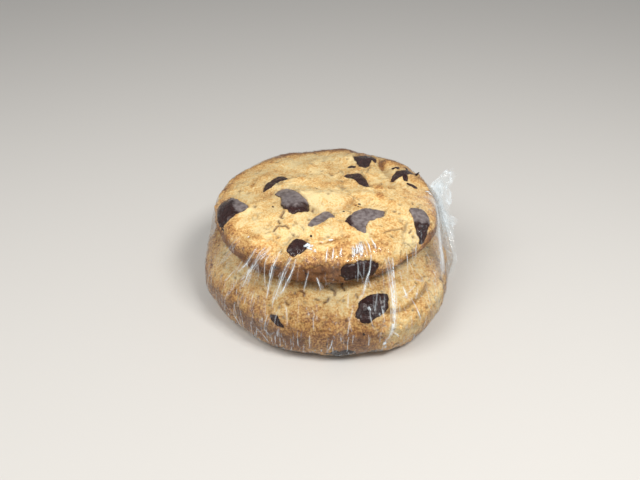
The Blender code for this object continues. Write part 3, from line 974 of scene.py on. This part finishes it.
class Nodes:
    """A material's nodes. Each input is given as a number, a colour or another node's output."""

    def __init__(self, name):
        self.material = bpy.data.materials.new(name)
        self.material.use_nodes = True
        self.tree = self.material.node_tree
        self.tree.nodes.clear()

    def add(self, kind, links=None, **settings):
        node = self.tree.nodes.new("ShaderNode" + kind)
        for key, value in settings.items():
            setattr(node, key, value)
        for key, value in (links or {}).items():
            if isinstance(value, bpy.types.NodeSocket):
                self.tree.links.new(value, node.inputs[key])
            else:
                node.inputs[key].default_value = value
        return node

    def place(self):
        return self.add("TexCoord").outputs["Object"]

    def stored(self, name):
        """A number stored at the mesh's points."""
        return self.add("Attribute", attribute_name=name).outputs["Fac"]

    def maths(self, operation, *values, clamp=False):
        return self.add("Math", dict(enumerate(values)), operation=operation, use_clamp=clamp).outputs[0]

    def product(self, value, *others):
        for other in others:
            value = self.maths("MULTIPLY", value, other)
        return value

    def noise(self, place, pitch, detail=2.0):
        """Noise over a pitch in mm."""
        links = {"Vector": place, "Scale": 1.0 / (pitch * MM), "Detail": detail}
        return self.add("TexNoise", links).outputs["Fac"]

    def shaken(self, value, place, pitch, span, detail=2.0):
        """The value with noise added, round 0 and of the given span."""
        shake = self.maths("MULTIPLY_ADD", self.noise(place, pitch, detail), span, -0.5 * span)
        return self.maths("ADD", value, shake)

    def ramp(self, factor, *stops):
        node = self.add("ValToRGB", {"Fac": factor})
        band = node.color_ramp
        while len(band.elements) < len(stops):
            band.elements.new(0.5)
        for element, (place, colour) in zip(band.elements, stops):
            element.position = place
            element.color = (*colour, 1.0)
        return node.outputs["Color"]

    def rise(self, factor, low, high, bottom=0.0, top=1.0):
        """A number that rises from bottom at low to top at high."""
        return self.ramp(factor, (low, (bottom,) * 3), (high, (top,) * 3))

    def mix(self, factor, first, second):
        """One colour over another."""
        return self.add("Mix", {"Factor": factor, 6: first, 7: second}, data_type="RGBA").outputs[2]

    def relief(self, height, strength, distance):
        """The normal of a relief finer than the mesh, its distance in mm."""
        links = {"Strength": strength, "Distance": distance * MM, "Height": height}
        return self.add("Bump", links).outputs["Normal"]

    def blend(self, factor, first, second):
        """One shader over another."""
        return self.add("MixShader", {0: factor, 1: first, 2: second}).outputs[0]

    def finish(self, shader):
        self.add("OutputMaterial", {"Surface": shader})
        return self.material

    def opaque(self, colour, rough, **inputs):
        """The finished material of an opaque surface; an input's name has _ for each space."""
        links = {"Base Color": colour, "Roughness": rough}
        links.update({key.replace("_", " "): value for key, value in inputs.items()})
        return self.finish(self.add("BsdfPrincipled", links).outputs[0])


def dough_material():
    """Baked dough: pale to brown, with fine flecks, and painted shade in its pores, cracks and chip edges."""
    nodes = Nodes("dough")
    place = nodes.place()
    baked = nodes.stored("bake")
    for pitch, span in DOUGH_MOTTLE:
        baked = nodes.shaken(baked, place, pitch, span, 3.0)
    colour = nodes.ramp(baked, *DOUGH_COLOURS)
    specks = nodes.add("TexVoronoi", {"Vector": place, "Scale": 1.0 / (SPECK_PITCH * MM)})
    dots = nodes.maths("LESS_THAN", specks.outputs["Distance"], SPECK_SIZE)
    some = nodes.maths("GREATER_THAN", specks.outputs["Color"], SPECK_RARE)
    colour = nodes.mix(nodes.product(dots, some, 0.6), colour, SPECK_COLOUR)
    colour = nodes.mix(nodes.product(nodes.stored("lip"), 0.25), colour, EDGE_SHADE_COLOUR)
    colour = nodes.mix(nodes.stored("pit"), colour, PIT_SHADE_COLOUR)
    relief = nodes.relief(nodes.noise(place, 0.6, 4.0), 0.9, 0.36)
    return nodes.opaque(colour, 0.6, Normal=relief, Specular_IOR_Level=0.35)


def chocolate_material():
    """Dark chocolate, greyer and flatter where film presses on it; the grey is partly painted reflection."""
    nodes = Nodes("chocolate")
    place = nodes.place()
    fine = nodes.noise(place, 1.4, 4.0)
    pressed = nodes.stored("pressed")
    colour = nodes.mix(pressed, nodes.ramp(fine, *CHOCOLATE_DARK), nodes.ramp(fine, *CHOCOLATE_GREY_SHEEN))
    rough = nodes.maths("MULTIPLY_ADD", pressed, 0.24, 0.18)
    relief = nodes.relief(nodes.noise(place, 0.7, 4.0), 0.5, 0.25)
    return nodes.opaque(colour, rough, Normal=relief, Specular_IOR_Level=0.20)


def film_material():
    """Clear film: what is behind it shows, with gloss by angle and white along its wrinkles.

    Haze is how white each point is, drawn is where fine upright lines run through it, crest and
    white are how near a wrinkle's crest is and how white it is, beside is how far off its line
    in mm, for the strands that it is made of, and glint is where painted highlights sparkle. The
    white lines and wrinkles are partly the folded film's own whitening and partly painted highlight.
    """
    nodes = Nodes("film")
    place = nodes.place()
    slim, spread = (
        nodes.add("Mapping", {"Vector": place, "Scale": (1.0, 1.0, squeeze)}).outputs[0]
        for squeeze in FILM_SQUEEZES
    )
    lines = nodes.noise(slim, 0.8)
    crinkle = nodes.noise(spread, 2.0, 3.0)
    relief = nodes.relief(nodes.maths("ADD", lines, crinkle), 0.20, 0.35)
    slant = nodes.add("Fresnel", {"IOR": 1.45, "Normal": relief}).outputs[0]
    clear = nodes.add("BsdfTransparent", {"Color": FILM_CLEAR_COLOUR}).outputs[0]
    gloss = {"Color": WHITE, "Roughness": 0.10, "Normal": relief}
    shine = nodes.add("BsdfGlossy", gloss).outputs[0]
    milk_and_glare = nodes.add("BsdfDiffuse", {"Color": FILM_MILK_AND_GLARE}).outputs[0]
    # Fine white lines: partly the film's own whitening, partly painted highlight
    hairs = nodes.product(nodes.rise(lines, 0.60, 0.70), nodes.stored("drawn"), 0.32)
    phase = nodes.maths("MULTIPLY_ADD", nodes.stored("beside"), 1.4, 0.5)
    phase = nodes.shaken(phase, slim, 2.4, 1.7)
    strand = nodes.rise(nodes.maths("PINGPONG", phase, 0.5), 0.26, 0.42, 0.25, 1.3)
    broken = nodes.maths("MULTIPLY_ADD", crinkle, 1.6, -0.1)
    bundle = nodes.rise(nodes.stored("crest"), 0.30, 0.75)
    # White along each wrinkle: partly the folded film's own whitening, partly painted highlight
    line = nodes.product(bundle, strand, nodes.stored("white"), broken)
    # Painted highlights: glints broken up by noise and whitened in the film's whitish diffuse colour
    sparkle = nodes.product(nodes.stored("glint"), nodes.noise(spread, 1.1, 3.0))
    seen = nodes.maths("MAXIMUM", nodes.maths("MAXIMUM", hairs, line), nodes.rise(sparkle, 0.34, 0.48))
    cover = nodes.maths("ADD", seen, nodes.stored("haze"), clamp=True)
    body = nodes.blend(cover, clear, milk_and_glare)
    return nodes.finish(nodes.blend(nodes.product(slant, 0.5), body, shine))


def section_hull(spots):
    """The outer chain of a section from its top middle to its foot."""
    order = spots[np.lexsort((-spots[:, 1], spots[:, 0]))]
    chain = []
    for spot in order:
        while len(chain) > 1:
            one = chain[-1] - chain[-2]
            two = spot - chain[-2]
            if one[0] * two[1] - one[1] * two[0] < 0:
                break
            chain.pop()
        chain.append(spot)
    return np.array(chain)


def convex_section(spots):
    """The points of the convex outline of a section, from its top middle out and down to its foot."""
    top = section_hull(spots)
    widest = top[-1]
    below = spots[spots[:, 1] <= widest[1]].copy()
    below[:, 1] *= -1
    foot = section_hull(below)
    foot[:, 1] *= -1
    foot = foot[foot[:, 1].argmin() :][::-1] if len(foot) > 1 else foot
    return np.vstack([top, foot[1:]])


def food_section(food, turn):
    """Where rays along one half-plane meet the food: reach from the film's axis, and level."""
    way = np.array([math.cos(turn), math.sin(turn)])
    spots = []
    for reach in SECTION_REACHES:
        at = FILM_AXIS + way * reach
        hit = food.ray_cast(Vector((*at, SECTION_ABOVE)) * MM, DOWN)
        if hit[0]:
            spots.append((reach, hit[0].z / MM))
    for level in SECTION_LEVELS:
        start = np.array([*(FILM_AXIS + way * SECTION_OUTSIDE), level])
        hit = food.ray_cast(Vector(start) * MM, Vector((-way[0], -way[1], 0.0)))
        if hit[0]:
            spots.append((SECTION_OUTSIDE - hit[3] / MM, level))
    return np.array(spots)


def spaced(chain):
    """A section resampled: coarse over the top, fine down the side."""
    lengths = np.r_[0.0, np.cumsum(np.linalg.norm(np.diff(chain, axis=0), axis=1))]
    top = np.linspace(0.0, FILM_TOP_REACH, FILM_TOP_ROWS, endpoint=False)
    marks = np.r_[top, np.linspace(FILM_TOP_REACH, lengths[-1], FILM_SIDE_ROWS)]
    return np.column_stack([np.interp(marks, lengths, chain[:, axis]) for axis in (0, 1)])


def blurred(values, reach):
    """Values smoothed round the closed first axis."""
    total = np.zeros_like(values)
    weights = 0.0
    for shift in range(-3 * reach, 3 * reach + 1):
        weight = math.exp(-0.5 * (shift / reach) ** 2)
        total += weight * np.roll(values, shift, axis=0)
        weights += weight
    return total / weights


def fin_turn(level):
    """Where the gathered tail leaves the wrap at a level, in radians."""
    share = np.clip((level - FIN_LOW) / (FIN_HIGH - FIN_LOW), -0.2, 1.3)
    return np.radians(FIN_TURN_LOW + (FIN_TURN_HIGH - FIN_TURN_LOW) * share)


def away_from(turns, middle):
    return (turns - middle + math.pi) % math.tau - math.pi


def random_streaks():
    """Fine wrinkles all round the wall of the wrap."""
    rng = np.random.default_rng(STREAK_SEED)
    for _ in range(STREAK_COUNT):
        turn = rng.uniform(-180.0, 180.0) if rng.random() < 0.7 else rng.uniform(-150.0, -100.0)
        level = rng.uniform(4.0, 34.0)
        long, lean = rng.uniform(1.5, 7.0), rng.normal(0.0, 0.25)
        yield Streak((turn, level), (turn + lean * long, level - long), rng.uniform(0.1, 0.5), 0.34)


def rim_gleams():
    """Short wrinkles over the upper cookie's front rim, painted white as highlights."""
    for number, turn in enumerate(RIM_GLEAMS):
        yield Streak((turn, 36.1), (turn - 0.8, 34.6 + 0.4 * (number % 3)), 0.8 + 0.3 * (number % 3), 0.5)


def stem_strands():
    """The two broad bundles of wrinkles that run up to the tail."""
    (low, foot), (middle, bend), (high, head) = STEM_LINE
    yield Streak((bend, middle), (foot, low), 0.85, STEM_WIDE)
    yield Streak((head, high), (bend, middle), 0.55, STEM_HEAD_WIDE)


def streak_lines(turns, level):
    """For each point, the nearness of a wrinkle's crest, how white it is, and how far beside it."""
    crest = np.zeros(level.shape)
    white = np.zeros(level.shape)
    beside = np.zeros(level.shape)
    across = turns * FILM_RADIUS
    around = math.tau * FILM_RADIUS
    seen = (Streak(*row) for row in STREAKS)
    for streak in (*stem_strands(), *seen, *rim_gleams(), *random_streaks()):
        ends = np.array([streak.first, streak.last], float)
        ends[:, 0] *= math.radians(1.0) * FILM_RADIUS
        long = np.linalg.norm(ends[1] - ends[0])
        way = (ends[1] - ends[0]) / long
        right = (across - ends[0, 0] + around / 2) % around - around / 2
        above = level - ends[0, 1]
        along = right * way[0] + above * way[1]
        share = np.clip(along / long, 0.0, 1.0)
        bow = STREAK_BOW * long * math.sin(5.0 * ends[0, 0]) * 4.0 * share * (1.0 - share)
        off = right * way[1] - above * way[0] - bow
        near = bump(np.hypot(off, along - share * long), streak.wide)
        fade = 0.3 + 0.7 * np.sin(math.pi * np.clip(share, 0.04, 0.96)) ** 0.5
        white = np.where(near > crest, streak.white * fade, white)
        beside = np.where(near > crest, off, beside)
        crest = np.maximum(crest, near)
    return crest, white, beside


def film_grid(food):
    """The film's points, column by column round the stack, from the top's middle to the base's."""
    turns = np.arange(FILM_COLUMNS) * math.tau / FILM_COLUMNS
    sections = [spaced(convex_section(food_section(food, turn))) for turn in turns[::4]]
    sections = blurred(np.array(sections), 1)
    full = np.empty((FILM_COLUMNS, *sections.shape[1:]))
    following = np.roll(sections, -1, axis=0)
    for part in range(4):
        full[part::4] = sections + (following - sections) * part / 4
    full[:, 0] = (0.0, full[:, 0, 1].mean())
    tangent = np.gradient(full, axis=1)
    outward = np.stack([-tangent[..., 1], tangent[..., 0]], -1)
    outward /= np.linalg.norm(outward, axis=-1, keepdims=True)
    outward[:, 0] = (0.0, 1.0)
    level = full[..., 1]
    spots = FILM_AXIS + full[..., :1] * np.stack([np.cos(turns), np.sin(turns)], -1)[:, None, :]
    spots = np.concatenate([spots, level[..., None]], -1)
    flat = spots.reshape(-1, 3)
    ridges = smooth_noise(flat * (1.0, 1.0, 0.1), 1.9, 141)
    ridges += 0.5 * smooth_noise(flat * (1.0, 1.0, 0.2), 0.9, 143)
    ridges = ridges.reshape(level.shape) * step(0.45, 0.8, outward[..., 0] + 0.25)
    crest, white, beside = streak_lines(turns[:, None], level)
    crest = crest * step(26.0, 29.0, full[..., 0])
    lift = FILM_CLEAR + 0.16 * ridges + 0.35 * crest * (0.3 + 0.7 * white)
    reach = full[..., 0] + outward[..., 0] * lift
    away = away_from(turns[:, None], fin_turn(level))
    root = FIN_ROOT * np.exp(-np.abs(away) / math.radians(FIN_ROOT_WIDE))
    reach = reach + root * step(4.0, 12.0, level) * step(37.0, 30.0, level)
    height = np.maximum(level + outward[..., 1] * lift, FILM_FLOOR)
    xs = FILM_AXIS[0] + reach * np.cos(turns)[:, None]
    ys = FILM_AXIS[1] + reach * np.sin(turns)[:, None]
    return np.stack([xs, ys, height], -1), crest, white, beside, outward


def film_mesh(grid, crest, white, beside, outward):
    """The wrap's mesh, closed at the middle of its top and carried flat under the base."""
    rim = grid[:, -1:, :2] - FILM_AXIS
    base = [
        np.concatenate([FILM_AXIS + rim * share, np.full((FILM_COLUMNS, 1, 1), FILM_FLOOR)], -1)
        for share in (0.85, 0.5, 0.02)
    ]
    whole = np.concatenate([grid, *base], 1)
    mesh = grid_mesh("film_wrap_fine", whole, True)
    turns = np.arange(FILM_COLUMNS)[:, None] * math.tau / FILM_COLUMNS
    level = grid[..., 2]
    stem_turn = np.radians(np.interp(level, *zip(*STEM_LINE)))
    near_tail = bump(away_from(turns, stem_turn - math.radians(4.0)), math.radians(11.0))
    near_tail *= step(12.0, 20.0, level) * step(39.0, 33.0, level)
    spots = grid.reshape(-1, 3)
    cloudy = np.clip(fractal(spots * (1.0, 1.0, 0.4), 7.0, 131, 2), 0.0, 1.0).reshape(crest.shape)
    wall = step(0.3, 0.8, outward[..., 0])
    low = step(16.0, 6.0, level)
    stem = bump(away_from(turns, stem_turn), math.radians(5.0)) * step(14.0, 20.0, level)
    milky = (0.04 * cloudy + 0.04 * low) * wall + 0.12 * near_tail + 0.20 * stem * wall
    drawn = wall * (0.3 + 0.8 * cloudy + 1.3 * low) + 1.5 * near_tail
    glint = np.zeros(len(spots))
    for place, size, shine in GLINTS:
        glint = np.maximum(glint, shine * bump(np.linalg.norm(spots - place, axis=1), size))
    glint = glint.reshape(crest.shape)
    pad = np.zeros((FILM_COLUMNS, len(base)))
    values_of = {"haze": milky, "drawn": drawn, "glint": glint}
    values_of.update(crest=crest, white=white, beside=beside)
    for name, values in values_of.items():
        set_values(mesh, name, np.concatenate([values, pad], 1).ravel())
    return mesh


TAIL_ROWS, TAIL_STEPS = 150, 60
TAIL_LEVELS = (7.0, 33.0)
# Level along the root, and how far the tail reaches out there
TAIL_REACH = ((7.0, 1.4), (14.0, 1.8), (20.0, 2.4), (22.5, 4.6), (25.0, 2.6), (29.0, 4.2), (33.0, 7.2))
TAIL_RISE = 9.0
TAIL_SHEETS = ((1.0, -0.6), (0.8, 1.0), (0.6, 2.4))  # share of the reach, and turn in degrees


def tail_sheet(grid, number, share, turn_shift):
    """One crumpled sheet of the gathered tail: its points, and how white each is."""
    levels = np.linspace(*TAIL_LEVELS, TAIL_ROWS)
    out = np.linspace(0.0, 1.0, TAIL_STEPS)
    turns = fin_turn(levels) + math.radians(turn_shift)
    columns = np.round(turns / math.tau * FILM_COLUMNS).astype(int) % FILM_COLUMNS
    walls = grid[columns]
    reach = np.empty(TAIL_ROWS)
    for at, (wall, level) in enumerate(zip(walls, levels)):
        side = wall[wall[:, 0] > 20.0]
        nearest = np.abs(side[:, 2] - level).argmin()
        reach[at] = np.linalg.norm(side[nearest, :2] - FILM_AXIS)
    profile = np.interp(levels, *zip(*TAIL_REACH)) * share
    waves = 0.12 * np.sin(levels * 1.7 + number) + 0.05 * np.sin(levels * 4.1 + 2 * number)
    profile = profile * (1.0 + waves)
    rise = TAIL_RISE * share * step(22.0, 33.0, levels)
    flat = reach[:, None] - 1.0 + (profile[:, None] + 1.0) * out
    high = levels[:, None] + rise[:, None] * out**0.8
    ahead = np.stack([np.cos(turns), np.sin(turns)], -1)[:, None, :]
    spots = np.concatenate([FILM_AXIS + flat[..., None] * ahead, high[..., None]], -1)
    points = spots.reshape(-1, 3)
    run = np.repeat(levels, TAIL_STEPS)
    loose = np.tile(out, TAIL_ROWS)
    across = loose * np.repeat(profile, TAIL_STEPS) + 0.25 * (run - TAIL_LEVELS[0])
    sheet = np.column_stack([run, across, np.full(len(run), 9.0 * number)])
    folds = 1.0 - 2.2 * np.abs(smooth_noise(sheet * (0.35, 1.0, 1.0), 2.4, 151))
    small = 1.0 - 2.2 * np.abs(smooth_noise(sheet * (0.6, 1.0, 1.0) + 5.0, 1.3, 157))
    push = loose**0.7 * (0.6 * folds + 0.12 * small + 1.2 * smooth_noise(sheet, 7.0, 161))
    aside = np.stack([-np.sin(turns), np.cos(turns), np.zeros(TAIL_ROWS)], -1)
    points = points + np.repeat(aside, TAIL_STEPS, 0) * push[:, None]
    crest = np.clip(0.65 * folds + 0.35 * small, 0.0, 1.0)
    white = 0.12 + 0.62 * crest**3 + 0.30 * bump(loose, 0.22)
    white *= 0.3 + 0.7 * step(16.0, 24.0, run)
    return points.reshape(spots.shape), white


def tail_mesh(grid):
    """The crumpled tail where the film is gathered, as three sheets."""
    whole = bmesh.new()
    whites = []
    for number, (share, turn_shift) in enumerate(TAIL_SHEETS):
        points, white = tail_sheet(grid, number, share, turn_shift)
        sheet = grid_mesh("sheet", points, False)
        whole.from_mesh(sheet)
        bpy.data.meshes.remove(sheet)
        whites.append(white)
    mesh = bpy.data.meshes.new("film_tail")
    whole.to_mesh(mesh)
    whole.free()
    mesh.shade_smooth()
    white = np.concatenate(whites)
    set_values(mesh, "haze", np.clip(white, 0.0, 0.9))
    set_values(mesh, "drawn", np.full(len(white), 0.3))
    for name in ("crest", "white", "beside", "glint"):
        set_values(mesh, name, np.zeros(len(white)))
    return mesh


def add_floor():
    bpy.ops.mesh.primitive_plane_add(size=FLOOR_SIZE, location=(0.0, 0.0, 0.0))
    floor = bpy.context.object
    floor.name = "floor"
    floor.data.materials.append(Nodes("floor").opaque(FLOOR_COLOUR, 0.6))
    floor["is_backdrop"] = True


def add_area(name, place, target, size, power, colour):
    light = bpy.data.lights.new(name, "AREA")
    light.shape = "RECTANGLE"
    light.size, light.size_y = size[0] * MM, size[1] * MM
    light.energy = power
    light.color = colour
    lamp = bpy.data.objects.new(name, light)
    bpy.context.scene.collection.objects.link(lamp)
    lamp.location = Vector(place) * MM
    way = Vector(target) - Vector(place)
    lamp.rotation_euler = way.to_track_quat("-Z", "Y").to_euler()


def add_lights():
    for light in LIGHTS:
        add_area(*light)
    world = bpy.data.worlds.new("studio")
    bpy.context.scene.world = world
    world.use_nodes = True
    backdrop = world.node_tree.nodes["Background"]
    backdrop.inputs["Color"].default_value = WORLD_COLOUR
    backdrop.inputs["Strength"].default_value = WORLD_STRENGTH


def add_camera():
    lens = bpy.data.cameras.new("camera")
    lens.sensor_width = SENSOR
    lens.lens = FOCAL_PIXELS / FRAME_PIXELS * SENSOR
    lens.clip_start = 0.005
    camera = bpy.data.objects.new("camera", lens)
    bpy.context.scene.collection.objects.link(camera)
    camera.location = Vector(CAMERA_PLACE) * MM
    camera.rotation_euler = (math.radians(90.0 - CAMERA_PITCH), 0.0, 0.0)
    bpy.context.scene.camera = camera


def main():
    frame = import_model()
    cad_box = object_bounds()
    bpy.context.scene.view_settings.view_transform = "Standard"
    add_camera()
    add_lights()
    add_floor()
    dough = dough_material()
    chocolate = chocolate_material()
    film = film_material()
    skins = {cookie.name: smooth_skin(cookie) for cookie in (LOWER, UPPER)}
    trees = {name: tree_of(mesh) for name, mesh in skins.items()}
    seated = {name: [] for name in skins}
    fine_chips = []
    for chip in TOP_CHIPS + SIDE_CHIPS:
        skin = trees[chip.cookie.name]
        place, axes = seat_of(chip, skin)
        ring = rough_outline(chip)
        seated[chip.cookie.name].append((place, axes, ring))
        mesh = chip_mesh(chip, place, axes, ring, skin)
        fine_chips.append(mesh)
        add_piece(chip.name + "_fine", mesh, chocolate, [chip.name])
    for cookie in (LOWER, UPPER):
        mesh = skins[cookie.name]
        dress_cookie(cookie, mesh, trees[cookie.name], seated[cookie.name])
        add_piece(cookie.name + "_fine", mesh, dough, [cookie.name])
    flecks = fleck_mesh([tree_of(mesh) for mesh in skins.values()])
    add_piece("chocolate_flecks", flecks, chocolate, [])
    food = tree_of(*skins.values(), *fine_chips)
    grid, *dressing = film_grid(food)
    add_piece("film_wrap_fine", film_mesh(grid, *dressing), film, ["film_wrap"])
    add_piece("film_tail", tail_mesh(grid), film, ["film_wrap"])
    boxes = {"cad": cad_box, "visual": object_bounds()}
    {key: [list(map(float, corner)) for corner in box] for key, box in boxes.items()}
    return frame


frame = main()
